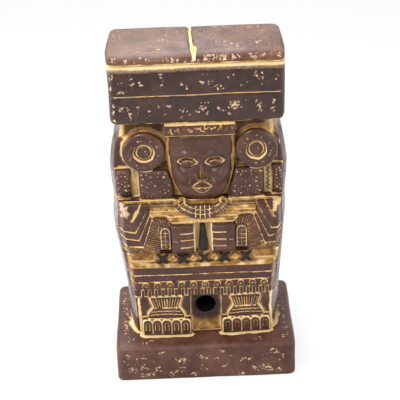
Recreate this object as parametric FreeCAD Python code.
import FreeCAD, Part
import math
import os

# Hollow clay statuette of a goddess in the block style: a plinth, a slab-built body with
# relief pieces luted on its front, and a flat slab headdress.
# Lengths are in millimetres. +Z is up and the figure looks towards -Y. The origin is the
# middle of the plinth's underside. Left and right are the viewer's, facing the figure.
# A reach is how far a face stands forward of the origin, towards the viewer.

# Plinth
plinth_height = 22.0
plinth_side_margin = 2.4
plinth_back_margin = 4.0
plinth_corner = 4.0
plinth_top_round = 2.5
plinth_foot_round = 0.8

# Body walls round the hollow
leg_wall_reach = 18.0
skirt_wall_reach = 14.0
chest_wall_reach = 12.0
head_wall_reach = 6.0
head_wall_thickness = 8.0
side_wall_thickness = 9.6
back_wall_thickness = 7.0
body_back_depth = 31.0
body_middle_depth = 4.0
body_front_margin = 1.0
body_corner_setback = 10.0
body_front_round = 3.0
body_corner_round = 8.0
body_middle_round = 15.0
body_back_round = 5.0
vent_radius = 5.5
vent_drop = 7.5

# Relief: how far its centre line lies from the body's, and how its rims are rounded
relief_centre = 1.0
rim_round = 0.6
soft_rim_round = 1.2

# Headdress
lower_band_height = 16.5
upper_band_height = 17.0
top_ledge_height = 1.2
top_ledge_inset = 1.3
top_slab_height = 4.8
headdress_overhang = 7.2
headdress_side_inset = 1.2
headdress_front_taper = 1.1
headdress_back_taper = 1.4
slab_corner = 3.5
slab_side_round = 20.0
slab_back_corner = 5.0
band_round = 0.6
lower_band_round = 1.8
top_round = 2.2
top_groove_depth = 1.5
top_groove_front_width = 3.2
top_groove_back_width = 2.2
top_groove_front_place = -0.6
top_groove_back_place = -2.8

# Head
forehead_band_height = 7.0
forehead_band_lap = 0.3
forehead_band_relief = 0.8
face_half_width = 18.6
face_height = 39.0
face_relief = 8.0
face_round = 2.5
face_gap = 0.9
chin_gap = 0.5
nose_width = 7.0
nose_relief = 4.0
lips_width = 9.5
lips_height = 3.6
lips_relief = 1.4
eye_width = 7.4
eye_height = 3.6
eye_relief = 0.6

# Ear discs, pendants and the columns beside them
disc_radius = 11.6
disc_relief = 6.2
disc_gap = 0.4
disc_drop = 17.2
disc_recess_radius = 5.6
disc_recess_depth = 1.2
boss_radius = 3.8
pendant_tuck = 3.2
pendant_width = 19.0
pendant_relief = 6.4
pendant_lap = 0.6
column_gap = 4.0
column_width = 8.6
column_margin = 1.6
column_relief = 3.6

# Chest ledge and necklace
chest_height = 31.5
ledge_overlap = 5.1
ledge_base = 1.4
ledge_step = 1.5
ledge_rise = 3.0
ledge_step_count = 4
strand_width = 2.8
strand_count = 3
strand_relief = 7.4
necklace_rise = 9.7
necklace_half_angle = 54.0

# Cape over the shoulders and arms
shoulder_relief = 5.4
cape_upper_relief = 6.2
cape_lower_relief = 7.0
sleeve_relief = 7.6
sleeve_crown_height = 5.0

# Hands, bracelets and the tie end between the hands
hand_inner = 4.4
hand_width = 13.8
hand_rise = 2.0
hand_relief = 9.4
hand_round = 1.6
finger_count = 4
finger_length = 9.4
finger_groove = 0.7
finger_groove_depth = 1.0
bracelet_width = 6.2
bracelet_rise = 2.2
bracelet_drop = 0.9
bracelet_relief = 9.0
tie_top_width = 2.6
tie_foot_width = 6.0
tie_drop = 2.5
tie_relief = 3.6

# Belt
belt_height = 6.5
belt_end = 0.4
belt_relief = 2.6
motif_relief = 1.2
motif_margin = 0.45
motif_nest = 1.0
cross_count = 5
cross_width = 7.2
cross_bar = 2.2
diamond_width = 5.6
diamond_margin = 0.75

# Skirt
upper_stripe_height = 4.9
lower_stripe_height = 4.4
loop_band_height = 4.7
hem_height = 5.0
skirt_relief = 7.0
hem_relief = 6.2
loop_count = 11
loop_margin = 0.6
loop_wall = 0.85
loop_relief = 0.9
loop_end = 4.0
fringe_count = 20
fringe_end = 2.4
fringe_width = 1.5
fringe_relief = 1.0

# Legs and feet
feet_half_gap = 8.6
foot_side_margin = 0.85
foot_round = 1.6
foot_height = 11.0
foot_relief = 4.8
sole_height = 2.0
toe_count = 5
toe_width = 4.7
toe_gap = 0.7
toe_drop = 0.6
toe_relief = 1.2
shin_inset = 0.4
shin_relief = 2.0
anklet_foot_half = 10.2
anklet_top_half = 8.7
anklet_height = 6.6
anklet_groove = 0.6
anklet_neck = 0.6
anklet_relief = 2.4
frill_top_half = 8.6
frill_foot_half = 6.4
frill_height = 6.3
frill_drop = 1.1
frill_relief = 1.0
rib_count = 6
rib_width = 1.6
rib_relief = 0.7

# Heights of the zones and the levels between them
leg_height = foot_height + anklet_height + frill_height + frill_drop
skirt_height = upper_stripe_height + lower_stripe_height + loop_band_height + hem_height
head_height = forehead_band_height + face_height + chin_gap
leg_foot = plinth_height
skirt_foot = leg_foot + leg_height
belt_foot = skirt_foot + skirt_height
chest_foot = belt_foot + belt_height
head_foot = chest_foot + chest_height
lower_band_foot = head_foot + head_height
upper_band_foot = lower_band_foot + lower_band_height
top_ledge_foot = upper_band_foot + upper_band_height
top_slab_foot = top_ledge_foot + top_ledge_height
top = top_slab_foot + top_slab_height
body_height = lower_band_foot - leg_foot
chin_level = head_foot + chin_gap
ledge_foot = head_foot - ledge_step_count * ledge_rise
hand_foot = chest_foot + hand_rise

# Reaches of the relief, each from what it stands on
face_reach = head_wall_reach + face_relief
forehead_band_reach = face_reach + forehead_band_relief
nose_reach = face_reach + nose_relief
lips_reach = face_reach + lips_relief
eye_reach = face_reach + eye_relief
disc_reach = head_wall_reach + disc_relief
pendant_reach = head_wall_reach + pendant_relief
column_reach = head_wall_reach + column_relief
headdress_reach = head_wall_reach + headdress_overhang
strand_reach = chest_wall_reach + strand_relief
hand_reach = chest_wall_reach + hand_relief
bracelet_reach = chest_wall_reach + bracelet_relief
tie_reach = chest_wall_reach + tie_relief
belt_reach = skirt_wall_reach + belt_relief
motif_reach = belt_reach + motif_relief
skirt_reach = skirt_wall_reach + skirt_relief
hem_reach = skirt_wall_reach + hem_relief
loop_reach = skirt_reach + loop_relief
fringe_reach = hem_reach + fringe_relief
foot_reach = leg_wall_reach + foot_relief
toe_reach = foot_reach + toe_relief
shin_reach = leg_wall_reach + shin_relief
anklet_reach = shin_reach + anklet_relief
frill_reach = shin_reach + frill_relief
rib_reach = frill_reach + rib_relief
body_front_reach = skirt_reach + body_front_margin
body_corner_reach = body_front_reach - body_corner_setback

# Widths and places that follow from the pieces side by side
disc_offset = face_half_width + disc_gap + disc_radius
pendant_inner = face_half_width - pendant_tuck
pendant_outer = pendant_inner + pendant_width
column_inner = pendant_outer + column_gap
body_half_width = column_inner + column_width + column_margin
headdress_half_width = body_half_width - headdress_side_inset
plinth_half_width = body_half_width + plinth_side_margin
plinth_half_depth = body_back_depth + plinth_back_margin
cavity_half_width = body_half_width - side_wall_thickness
cavity_front_depth = head_wall_thickness - head_wall_reach
cavity_back_depth = body_back_depth - back_wall_thickness
pendant_height = head_height - disc_drop - disc_radius + pendant_lap
necklace_level = chin_level + necklace_rise
necklace_radius = necklace_rise + face_gap + strand_count * strand_width
hand_outer = hand_inner + hand_width
hand_height = ledge_foot - hand_foot
bracelet_height = hand_height - bracelet_rise - bracelet_drop
bracelet_outer = hand_outer + bracelet_width
bracelet_head = hand_foot + bracelet_rise + bracelet_height
ledge_half_width = bracelet_outer + ledge_overlap
tie_height = ledge_foot - chest_foot - tie_drop
motif_pitch = cross_width + diamond_width - motif_nest
belt_half_width = (cross_count - 1) / 2 * motif_pitch + cross_width / 2 + belt_end
cross_height = belt_height - 2 * motif_margin
diamond_height = belt_height - 2 * diamond_margin
loop_radius = loop_band_height / 2 - loop_margin
foot_half_width = (toe_count * (toe_width + toe_gap) - toe_gap) / 2 + foot_side_margin
foot_offset = feet_half_gap + foot_half_width
toe_height = foot_height - sole_height - toe_drop

# Body's plan at each level: share of the body's height, then shares of its widest half
# at the front, the front corner, the middle and the back
body_level_shares = [
    (0.0, 0.751, 0.833, 0.895, 0.885),
    (0.195, 0.772, 0.854, 0.905, 0.895),
    (0.393, 0.792, 0.895, 0.957, 0.916),
    (0.514, 0.813, 0.926, 0.981, 0.936),
    (0.638, 0.813, 0.916, 0.981, 0.936),
    (0.763, 0.802, 0.905, 1.0, 0.947),
    (0.903, 0.802, 0.895, 0.963, 0.947),
    (1.0, 0.802, 0.885, 0.909, 0.905),
]

# Share of the body's widest half that the skirt's front takes
skirt_front_share = 0.772

# Cape lines on one side, as shares of the way from the bracelet to the body's widest half,
# and of the chest's height above its foot
shoulder_line_shares = [(0.279, 0.867), (0.545, 0.441), (0.96, 0.543)]
cape_line_shares = [(0.215, 0.778), (0.475, 0.302), (0.96, 0.41)]
sleeve_line_shares = [(0.157, 0.72), (0.388, 0.187), (0.96, 0.225)]
shoulder_top_shares = [(0.96, 1.0), (0.22, 1.0)]
sleeve_foot_shares = [(0.96, 0.06), (0.0, 0.06)]

# Sleeve's crown over the bracelet, as shares of the way from the bracelet's outer edge to
# the hand, and of the crown's height above the bracelet
sleeve_crown_shares = [(0.0, 0.0), (1.0, 0.0), (1.0, 0.55), (0.6, 1.0), (-0.3, 1.05)]

# Face outline on one side, as shares of its half width and height, from the chin upwards
face_side_shares = [(0.34, 0.0), (0.62, 0.07), (0.82, 0.22), (0.94, 0.44), (1.0, 0.72), (1.0, 1.0)]
nose_foot_share = 0.333
nose_top_share = 0.667
nose_bridge_share = 0.45
mouth_share = 0.215
eye_level_share = 0.59

# How far from a level an edge may lie and still count as lying in it
level_tolerance = 0.01


def rounded_wire(points, radii, place):
    """Closed outline through the points, each corner turned by an arc of its radius."""
    arcs = []
    count = len(points)
    for index in range(count):
        before = FreeCAD.Vector(*points[index - 1], 0)
        corner = FreeCAD.Vector(*points[index], 0)
        after = FreeCAD.Vector(*points[(index + 1) % count], 0)
        to_before = (before - corner).normalize()
        to_after = (after - corner).normalize()
        half_angle = to_before.getAngle(to_after) / 2
        setback = radii[index] / math.tan(half_angle)
        inward = (to_before + to_after).normalize()
        middle = corner + inward * (radii[index] / math.sin(half_angle) - radii[index])
        ends = (corner + to_before * setback, middle, corner + to_after * setback)
        arcs.append([place(point.x, point.y) for point in ends])
    edges = []
    for index in range(count):
        start, middle, end = arcs[index]
        following = arcs[(index + 1) % count][0]
        edges.append(Part.Arc(start, middle, end).toShape())
        edges.append(Part.LineSegment(end, following).toShape())
    return Part.Wire(edges)


def plan_wire(height, halves, reaches, radii):
    """Level outline, the same on both sides, from half widths and reaches, front to back."""
    right = [(half, -reach) for half, reach in zip(halves, reaches)]
    left = [(-x, y) for x, y in reversed(right)]
    corner_radii = list(radii) + list(reversed(radii))
    return rounded_wire(right + left, corner_radii, lambda x, y: FreeCAD.Vector(x, y, height))


def body_form():
    """The whole body's outside, before its front is cut back to each wall's reach."""
    reaches = (body_front_reach, body_corner_reach, -body_middle_depth, -body_back_depth)
    radii = (body_front_round, body_corner_round, body_middle_round, body_back_round)
    levels = []
    for height_share, *width_shares in body_level_shares:
        halves = [body_half_width * share for share in width_shares]
        levels.append(plan_wire(leg_foot + body_height * height_share, halves, reaches, radii))
    return Part.makeLoft(levels, True, True)


def headdress_form(foot, height, inset):
    """Stretch of the headdress between two levels, drawn in by the inset all round."""
    middle = headdress_half_width - inset
    halves = (middle - headdress_front_taper, middle, middle - headdress_back_taper)
    reaches = (headdress_reach - inset, -body_middle_depth, inset - body_back_depth)
    outline = plan_wire(foot, halves, reaches, (slab_corner, slab_side_round, slab_back_corner))
    return Part.Face(outline).extrude(FreeCAD.Vector(0, 0, height))


def box_between(x_range, y_range, z_range):
    """Upright box between two corners."""
    width, depth, height = (high - low for low, high in (x_range, y_range, z_range))
    return Part.makeBox(width, depth, height, FreeCAD.Vector(x_range[0], y_range[0], z_range[0]))


def edges_at_level(solid, level):
    """Edges of a solid that lie wholly at one level."""
    low = level - level_tolerance
    high = level + level_tolerance
    return [edge for edge in solid.Edges if low < edge.BoundBox.ZMin and edge.BoundBox.ZMax < high]


def edges_at_reach(solid, reach):
    """Edges of a solid that lie wholly at one reach."""
    low = -reach - level_tolerance
    high = -reach + level_tolerance
    return [edge for edge in solid.Edges if low < edge.BoundBox.YMin and edge.BoundBox.YMax < high]


def raised(face, back_reach, front_reach, rim):
    """Relief piece from a flat outline, its front rim rounded."""
    solid = face.extrude(FreeCAD.Vector(0, back_reach - front_reach, 0))
    return solid.makeFillet(rim, edges_at_reach(solid, front_reach))


def front_outline(points, radius, back_reach):
    """Flat outline on the front, in places and levels, with rounded corners."""
    wire = rounded_wire(points, [radius] * len(points), lambda x, z: FreeCAD.Vector(x, -back_reach, z))
    return Part.Face(wire)


def front_polygon(points, back_reach):
    """Flat outline on the front, in places and levels, with sharp corners."""
    corners = [FreeCAD.Vector(x, -back_reach, z) for x, z in points]
    return Part.Face(Part.makePolygon(corners + corners[:1]))


def rectangle(x_range, z_range):
    """Corners of an upright rectangle on the front."""
    low_x, high_x = x_range
    low_z, high_z = z_range
    return [(low_x, low_z), (high_x, low_z), (high_x, high_z), (low_x, high_z)]


def disc(centre_x, centre_z, radius, back_reach, front_reach):
    """Round relief piece with its axis along Y."""
    start = FreeCAD.Vector(centre_x, -back_reach, centre_z)
    return Part.makeCylinder(radius, front_reach - back_reach, start, FreeCAD.Vector(0, -1, 0))


def placed(side, offset):
    """Place on the front at an offset from the relief's centre, to one side."""
    return relief_centre + side * offset


def build_plinth():
    """Plinth slab with softened edges."""
    x_range = (-plinth_half_width, plinth_half_width)
    y_range = (-plinth_half_depth, plinth_half_depth)
    slab = box_between(x_range, y_range, (0, plinth_height))
    upright = [edge for edge in slab.Edges if edge.BoundBox.ZLength > plinth_height / 2]
    slab = slab.makeFillet(plinth_corner, upright)
    slab = slab.makeFillet(plinth_top_round, edges_at_level(slab, plinth_height))
    return slab.makeFillet(plinth_foot_round, edges_at_level(slab, 0))


def build_walls(form):
    """Front wall of each zone, the two side walls and the back wall."""
    span = (-body_half_width, body_half_width)
    full = (leg_foot, lower_band_foot)
    inner = (cavity_front_depth, cavity_back_depth)
    vent_level = skirt_foot - vent_drop
    vent = disc(relief_centre, vent_level, vent_radius, -cavity_front_depth, leg_wall_reach)
    zones = {
        "leg_wall": (leg_wall_reach, leg_foot, skirt_foot),
        "skirt_wall": (skirt_wall_reach, skirt_foot, chest_foot),
        "chest_wall": (chest_wall_reach, chest_foot, head_foot),
        "head_wall": (head_wall_reach, head_foot, lower_band_foot),
    }
    walls = {}
    for name, (reach, foot, head) in zones.items():
        walls[name] = form.common(box_between(span, (-reach, cavity_front_depth), (foot, head)))
    walls["leg_wall"] = walls["leg_wall"].cut(vent)
    walls["side_wall_left"] = form.common(box_between((span[0], -cavity_half_width), inner, full))
    walls["side_wall_right"] = form.common(box_between((cavity_half_width, span[1]), inner, full))
    walls["back_wall"] = form.common(box_between(span, (cavity_back_depth, body_back_depth), full))
    return walls


def build_headdress():
    """Two band slabs and the top slab, which stands on a drawn-in ledge."""
    lower = headdress_form(lower_band_foot, lower_band_height, 0)
    lower = lower.makeFillet(lower_band_round, edges_at_level(lower, lower_band_foot))
    lower = lower.makeFillet(band_round, edges_at_level(lower, upper_band_foot))
    upper = headdress_form(upper_band_foot, upper_band_height, 0)
    upper = upper.makeFillet(band_round, edges_at_level(upper, upper_band_foot))
    upper = upper.makeFillet(rim_round, edges_at_level(upper, top_ledge_foot))
    ledge = headdress_form(top_ledge_foot, top_ledge_height, top_ledge_inset)
    slab = headdress_form(top_slab_foot, top_slab_height, 0)
    slab = slab.makeFillet(top_round, edges_at_level(slab, top))
    slab = slab.makeFillet(band_round, edges_at_level(slab, top_slab_foot))
    floor = top - top_groove_depth
    groove_corners = []
    for place, half_width, y in (
        (top_groove_front_place, top_groove_front_width / 2, -headdress_reach),
        (top_groove_back_place, -top_groove_back_width / 2, body_back_depth),
    ):
        groove_corners.append(FreeCAD.Vector(place - half_width, y, floor))
        groove_corners.append(FreeCAD.Vector(place + half_width, y, floor))
    groove = Part.Face(Part.makePolygon(groove_corners + groove_corners[:1]))
    groove = groove.extrude(FreeCAD.Vector(0, 0, top_groove_depth))
    return {
        "headdress_lower_band": lower,
        "headdress_upper_band": upper,
        "headdress_top_slab": slab.fuse(ledge).cut(groove),
    }


def face_outline(margin):
    """Face outline with a margin round it, on the head wall."""
    right = []
    for width_share, height_share in face_side_shares:
        right.append((width_share * face_half_width, chin_level + height_share * face_height))
    points = [(relief_centre + x, z) for x, z in right]
    points += [(relief_centre - x, z) for x, z in reversed(right)]
    outline = front_polygon(points, head_wall_reach)
    return outline.makeOffset2D(margin)


def build_face():
    """Face panel with a wedge nose and lips, and the two eyes as pieces of their own."""
    panel = raised(face_outline(0), head_wall_reach, face_reach, face_round)
    nose_foot = chin_level + nose_foot_share * face_height
    nose_top = chin_level + nose_top_share * face_height
    half_nose = nose_width / 2
    foot_wire = Part.makePolygon([
        FreeCAD.Vector(relief_centre - half_nose, -head_wall_reach, nose_foot),
        FreeCAD.Vector(relief_centre, -nose_reach, nose_foot),
        FreeCAD.Vector(relief_centre + half_nose, -head_wall_reach, nose_foot),
        FreeCAD.Vector(relief_centre - half_nose, -head_wall_reach, nose_foot),
    ])
    half_bridge = half_nose * nose_bridge_share
    top_wire = Part.makePolygon([
        FreeCAD.Vector(relief_centre - half_bridge, -head_wall_reach, nose_top),
        FreeCAD.Vector(relief_centre, -face_reach, nose_top),
        FreeCAD.Vector(relief_centre + half_bridge, -head_wall_reach, nose_top),
        FreeCAD.Vector(relief_centre - half_bridge, -head_wall_reach, nose_top),
    ])
    nose = Part.makeLoft([foot_wire, top_wire], True, True)
    mouth = chin_level + mouth_share * face_height
    lips = oval(relief_centre, mouth, lips_width, lips_height, head_wall_reach, lips_reach)
    eye_level = chin_level + eye_level_share * face_height
    eyes = []
    for side in (-1, 1):
        eyes.append(oval(placed(side, eye_width), eye_level, eye_width, eye_height, face_reach, eye_reach))
    return {"face": panel.fuse(nose).fuse(lips), "eyes": Part.makeCompound(eyes)}


def oval(centre_x, centre_z, width, height, back_reach, front_reach):
    """Oval relief piece with its axis along Y."""
    centre = FreeCAD.Vector(centre_x, -back_reach, centre_z)
    wide_end = FreeCAD.Vector(centre_x + width / 2, -back_reach, centre_z)
    tall_end = FreeCAD.Vector(centre_x, -back_reach, centre_z + height / 2)
    rim = Part.Ellipse(wide_end, tall_end, centre).toShape()
    return Part.Face(Part.Wire(rim)).extrude(FreeCAD.Vector(0, back_reach - front_reach, 0))


def build_head_sides(side, form):
    """Ear disc with its boss, pendant and outer column of one side."""
    disc_level = lower_band_foot - disc_drop
    centre_x = placed(side, disc_offset)
    plate = disc(centre_x, disc_level, disc_radius, head_wall_reach, disc_reach)
    plate = plate.makeFillet(soft_rim_round, edges_at_reach(plate, disc_reach))
    recess_reach = disc_reach - disc_recess_depth
    plate = plate.cut(disc(centre_x, disc_level, disc_recess_radius, recess_reach, disc_reach))
    boss = disc(centre_x, disc_level, boss_radius, recess_reach, disc_reach)
    boss = boss.makeFillet(rim_round, edges_at_reach(boss, disc_reach))
    x_range = sorted((placed(side, pendant_inner), placed(side, pendant_outer)))
    foot = head_foot
    outline = front_polygon(rectangle(x_range, (foot, foot + pendant_height)), head_wall_reach)
    keep_out = face_outline(face_gap)
    depth = FreeCAD.Vector(0, head_wall_reach - face_reach, 0)
    pendant = raised(outline, head_wall_reach, pendant_reach, soft_rim_round).cut(keep_out.extrude(depth))
    pendant = pendant.cut(disc(centre_x, disc_level, disc_radius, head_wall_reach, face_reach))
    x_range = sorted((placed(side, column_inner), placed(side, column_inner + column_width)))
    outline = front_polygon(rectangle(x_range, (foot, foot + pendant_height)), head_wall_reach)
    column = raised(outline, head_wall_reach, column_reach, soft_rim_round).common(form)
    column = column.cut(disc(centre_x, disc_level, disc_radius, head_wall_reach, face_reach))
    return {"ear_disc": plate, "ear_boss": boss, "pendant": pendant, "side_column": column}


def build_forehead_band():
    """Band across the forehead, under the headdress."""
    half_width = face_half_width + forehead_band_lap
    x_range = (relief_centre - half_width, relief_centre + half_width)
    z_range = (lower_band_foot - forehead_band_height, lower_band_foot)
    outline = front_polygon(rectangle(x_range, z_range), head_wall_reach)
    return raised(outline, head_wall_reach, forehead_band_reach, rim_round)


def build_necklace():
    """Three strands of one necklace, rings about one centre, cut to its front stretch."""
    depth = FreeCAD.Vector(0, chest_wall_reach - strand_reach, 0)
    jaw = face_outline(face_gap).translated(FreeCAD.Vector(0, head_wall_reach - chest_wall_reach, 0))
    half_angle = math.radians(necklace_half_angle)
    side = 2 * necklace_radius * math.sin(half_angle)
    drop = 2 * necklace_radius * math.cos(half_angle)
    stretch = front_polygon([
        (relief_centre, necklace_level),
        (relief_centre - side, necklace_level - drop),
        (relief_centre + side, necklace_level - drop),
    ], chest_wall_reach)
    room = stretch.extrude(depth).cut(jaw.extrude(depth))
    strands = {}
    for index, name in enumerate(("necklace_lower", "necklace_middle", "necklace_upper")):
        outer = necklace_radius - index * strand_width
        ring = disc(relief_centre, necklace_level, outer, chest_wall_reach, strand_reach)
        inner = outer - strand_width
        ring = ring.cut(disc(relief_centre, necklace_level, inner, chest_wall_reach, strand_reach))
        ring = ring.makeFillet(rim_round, edges_at_reach(ring, strand_reach))
        strands[name] = ring.common(room)
    return strands


def build_ledge():
    """Stepped ledge under the head, cut out for the necklace."""
    steps = []
    for index in range(ledge_step_count):
        head = head_foot - index * ledge_rise
        reach = chest_wall_reach + ledge_base + index * ledge_step
        x_range = (relief_centre - ledge_half_width, relief_centre + ledge_half_width)
        steps.append(box_between(x_range, (-reach, -chest_wall_reach), (head - ledge_rise, head)))
    ledge = steps[0].fuse(steps[1:]).removeSplitter()
    room = disc(relief_centre, necklace_level, necklace_radius, chest_wall_reach, strand_reach)
    return ledge.cut(room)


def cape_points(side, shares):
    """Points of a cape line on one side."""
    points = []
    for width_share, height_share in shares:
        offset = bracelet_outer + (body_half_width - bracelet_outer) * width_share
        points.append((placed(side, offset), chest_foot + chest_height * height_share))
    return points


def build_cape(side, form, ledge):
    """Shoulder and two cape strips of one side, cut out for the ledge."""
    lines = {
        "shoulder": (shoulder_line_shares, shoulder_top_shares, shoulder_relief),
        "cape_upper": (cape_line_shares, list(reversed(shoulder_line_shares)), cape_upper_relief),
        "cape_lower": (sleeve_line_shares, list(reversed(cape_line_shares)), cape_lower_relief),
    }
    pieces = {}
    for name, (line, rest, relief) in lines.items():
        outline = front_polygon(cape_points(side, line) + cape_points(side, rest), chest_wall_reach)
        piece = outline.extrude(FreeCAD.Vector(0, -relief, 0))
        pieces[name] = piece.common(form).cut(ledge)
    return pieces


def build_sleeve(side, form):
    """Fringed sleeve of one side, round the bracelet's outside and over its crown."""
    points = cape_points(side, sleeve_line_shares) + cape_points(side, sleeve_foot_shares)
    for width_share, height_share in sleeve_crown_shares:
        offset = bracelet_outer - bracelet_width * width_share
        points.append((placed(side, offset), bracelet_head + sleeve_crown_height * height_share))
    outline = front_polygon(points, chest_wall_reach)
    return outline.extrude(FreeCAD.Vector(0, -sleeve_relief, 0)).common(form)


def build_hand(side):
    """Hand with its fingers towards the middle, and its bracelet."""
    x_range = sorted((placed(side, hand_inner), placed(side, hand_outer)))
    z_range = (hand_foot, hand_foot + hand_height)
    outline = front_outline(rectangle(x_range, z_range), hand_round, chest_wall_reach)
    hand = raised(outline, chest_wall_reach, hand_reach, soft_rim_round)
    finger_height = hand_height / finger_count
    tips = sorted((placed(side, hand_inner), placed(side, hand_inner + finger_length)))
    for index in range(1, finger_count):
        level = hand_foot + index * finger_height
        z_range = (level - finger_groove / 2, level + finger_groove / 2)
        y_range = (-hand_reach, finger_groove_depth - hand_reach)
        hand = hand.cut(box_between(tips, y_range, z_range))
    x_range = sorted((placed(side, hand_outer), placed(side, bracelet_outer)))
    foot = hand_foot + bracelet_rise
    outline = front_polygon(rectangle(x_range, (foot, foot + bracelet_height)), chest_wall_reach)
    bracelet = raised(outline, chest_wall_reach, bracelet_reach, soft_rim_round)
    return {"hand": hand, "bracelet": bracelet}


def build_tie():
    """Tie end that hangs between the hands."""
    half_top = tie_top_width / 2
    half_foot = tie_foot_width / 2
    points = [
        (relief_centre - half_foot, chest_foot),
        (relief_centre + half_foot, chest_foot),
        (relief_centre + half_top, chest_foot + tie_height),
        (relief_centre - half_top, chest_foot + tie_height),
    ]
    return raised(front_polygon(points, chest_wall_reach), chest_wall_reach, tie_reach, rim_round)


def build_belt():
    """Belt strip, with its crosses and diamonds as groups of pieces on it."""
    x_range = (relief_centre - belt_half_width, relief_centre + belt_half_width)
    strip = box_between(x_range, (-belt_reach, -skirt_wall_reach), (belt_foot, chest_foot))
    level = belt_foot + belt_height / 2
    crosses = []
    diamonds = []
    for index in range(cross_count):
        centre = relief_centre + (index - (cross_count - 1) / 2) * motif_pitch
        crosses.append(build_cross(centre, level))
        if index:
            diamonds.append(build_diamond(centre - motif_pitch / 2, level))
    return {
        "belt": strip,
        "belt_crosses": Part.makeCompound(crosses),
        "belt_diamonds": Part.makeCompound(diamonds),
    }


def build_cross(centre, level):
    """Slanting cross of two bars."""
    half_bar = cross_bar / 2
    bars = []
    for way in (-1, 1):
        points = []
        for end, edge in ((-1, -1), (-1, 1), (1, 1), (1, -1)):
            x = centre + end * (cross_width / 2 - half_bar) + edge * half_bar
            points.append((x, level + way * end * cross_height / 2))
        outline = front_polygon(points, belt_reach)
        bars.append(outline.extrude(FreeCAD.Vector(0, belt_reach - motif_reach, 0)))
    return bars[0].fuse(bars[1]).removeSplitter()


def build_diamond(centre, level):
    """Diamond standing on its point."""
    half_width = diamond_width / 2
    half_height = diamond_height / 2
    points = [
        (centre, level - half_height),
        (centre + half_width, level),
        (centre, level + half_height),
        (centre - half_width, level),
    ]
    return front_polygon(points, belt_reach).extrude(FreeCAD.Vector(0, belt_reach - motif_reach, 0))


def row_places(count, half_length):
    """Evenly spaced places of a row's pieces about the relief's centre."""
    return [relief_centre + half_length * (2 * index / (count - 1) - 1) for index in range(count)]


def build_skirt(form):
    """Two stripes, the loop band and the hem, with loops and fringe as groups of pieces."""
    span = (-body_half_width, body_half_width)
    levels = {}
    head = belt_foot
    rows = (
        ("skirt_upper_stripe", upper_stripe_height, skirt_reach),
        ("skirt_lower_stripe", lower_stripe_height, skirt_reach),
        ("skirt_loop_band", loop_band_height, skirt_reach),
        ("skirt_hem", hem_height, hem_reach),
    )
    pieces = {}
    for name, height, reach in rows:
        levels[name] = (head - height, head)
        row = box_between(span, (-reach, -skirt_wall_reach), (head - height, head))
        pieces[name] = form.common(row)
        head -= height
    low, high = levels["skirt_loop_band"]
    level = (low + high) / 2
    front_half = body_half_width * skirt_front_share
    loops = []
    for centre in row_places(loop_count, front_half - loop_end):
        ring = disc(centre, level, loop_radius, skirt_reach, loop_reach)
        loops.append(ring.cut(disc(centre, level, loop_radius - loop_wall, skirt_reach, loop_reach)))
    pieces["skirt_loops"] = Part.makeCompound(loops)
    low, high = levels["skirt_hem"]
    bars = []
    for centre in row_places(fringe_count, front_half - fringe_end):
        x_range = (centre - fringe_width / 2, centre + fringe_width / 2)
        bars.append(box_between(x_range, (-fringe_reach, -hem_reach), (low, high)))
    pieces["skirt_fringe"] = Part.makeCompound(bars)
    return pieces


def build_leg(side, form):
    """Shin, foot with five toes, anklet and ankle frill of one side."""
    centre = placed(side, foot_offset)
    ground = plinth_height
    x_range = (centre - foot_half_width, centre + foot_half_width)
    outline = front_outline(rectangle(x_range, (ground, ground + foot_height)), foot_round, leg_wall_reach)
    foot = raised(outline, leg_wall_reach, foot_reach, soft_rim_round)
    shin_range = sorted((placed(side, feet_half_gap + shin_inset), placed(side, body_half_width)))
    shin = box_between(shin_range, (-shin_reach, -leg_wall_reach), (ground + foot_height, skirt_foot))
    toes = []
    for index in range(toe_count):
        middle = centre + (index - (toe_count - 1) / 2) * (toe_width + toe_gap)
        toes.append(build_toe(middle, ground + sole_height))
    anklet_level = ground + foot_height
    return {
        "foot": foot,
        "shin": shin.common(form),
        "toes": Part.makeCompound(toes),
        "anklet": build_anklet(centre, anklet_level),
        "ankle_frill": build_frill(centre, anklet_level + anklet_height),
    }


def build_anklet(centre, foot):
    """Anklet of two rings on a slightly smaller neck, wider at its foot."""
    def stretch(low, high, inset):
        points = []
        for way, level in ((-1, low), (1, low), (1, high), (-1, high)):
            half = anklet_foot_half + (anklet_top_half - anklet_foot_half) * level / anklet_height
            points.append((centre + way * (half - inset), foot + level))
        depth = FreeCAD.Vector(0, shin_reach - anklet_reach + inset, 0)
        return front_polygon(points, shin_reach).extrude(depth)

    ring_height = (anklet_height - anklet_groove) / 2
    anklet = stretch(0, anklet_height, anklet_neck)
    for low in (0, ring_height + anklet_groove):
        anklet = anklet.fuse(stretch(low, low + ring_height, 0))
    return anklet.removeSplitter()


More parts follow.
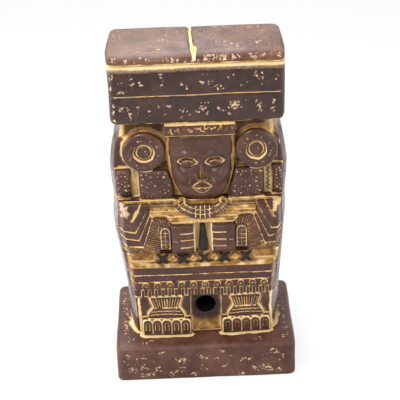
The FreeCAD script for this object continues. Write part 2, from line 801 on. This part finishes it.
def build_toe(middle, foot):
    """Toe with a round top, standing on the sole's edge."""
    half = toe_width / 2
    shoulder = foot + toe_height - half
    corners = [FreeCAD.Vector(middle + way * half, -foot_reach, level)
               for way, level in ((-1, shoulder), (-1, foot), (1, foot), (1, shoulder))]
    sides = [Part.LineSegment(*pair).toShape() for pair in zip(corners, corners[1:])]
    crown = FreeCAD.Vector(middle, -foot_reach, shoulder + half)
    arch = Part.Arc(corners[3], crown, corners[0]).toShape()
    outline = Part.Face(Part.Wire(sides + [arch]))
    return raised(outline, foot_reach, toe_reach, rim_round)


def build_frill(centre, foot):
    """Flared ankle frill with upright ribs."""
    def strip(half_at_foot, half_at_top, offset_at_foot, offset_at_top, back, front):
        points = [
            (centre + offset_at_foot - half_at_foot, foot),
            (centre + offset_at_foot + half_at_foot, foot),
            (centre + offset_at_top + half_at_top, foot + frill_height),
            (centre + offset_at_top - half_at_top, foot + frill_height),
        ]
        return front_polygon(points, back).extrude(FreeCAD.Vector(0, back - front, 0))

    frill = strip(frill_foot_half, frill_top_half, 0, 0, shin_reach, frill_reach)
    for index in range(rib_count):
        share = (index + 1 / 2) / rib_count * 2 - 1
        rib = strip(rib_width / 2, rib_width / 2, share * frill_foot_half, share * frill_top_half,
                    shin_reach, rib_reach)
        frill = frill.fuse(rib)
    return frill.removeSplitter()


def build_all():
    """Every piece of the statuette by its name."""
    form = body_form()
    pieces = {"plinth": build_plinth(), "chest_tie": build_tie(), "forehead_band": build_forehead_band()}
    ledge = build_ledge()
    for side, side_name in ((-1, "left"), (1, "right")):
        sleeve = build_sleeve(side, form)
        ledge = ledge.cut(sleeve)
        pieces["sleeve_" + side_name] = sleeve
    pieces["chest_ledge"] = ledge
    for group in (build_walls(form), build_headdress(), build_face(), build_necklace(), build_belt(),
                  build_skirt(form)):
        pieces.update(group)
    for side, side_name in ((-1, "left"), (1, "right")):
        for group in (build_head_sides(side, form), build_cape(side, form, ledge), build_hand(side),
                      build_leg(side, form)):
            for name, piece in group.items():
                pieces[name + "_" + side_name] = piece
    return pieces


os.makedirs("parts", exist_ok=True)
for node, shape in build_all().items():
    shape.exportStep(os.path.join("parts", node + ".step"))
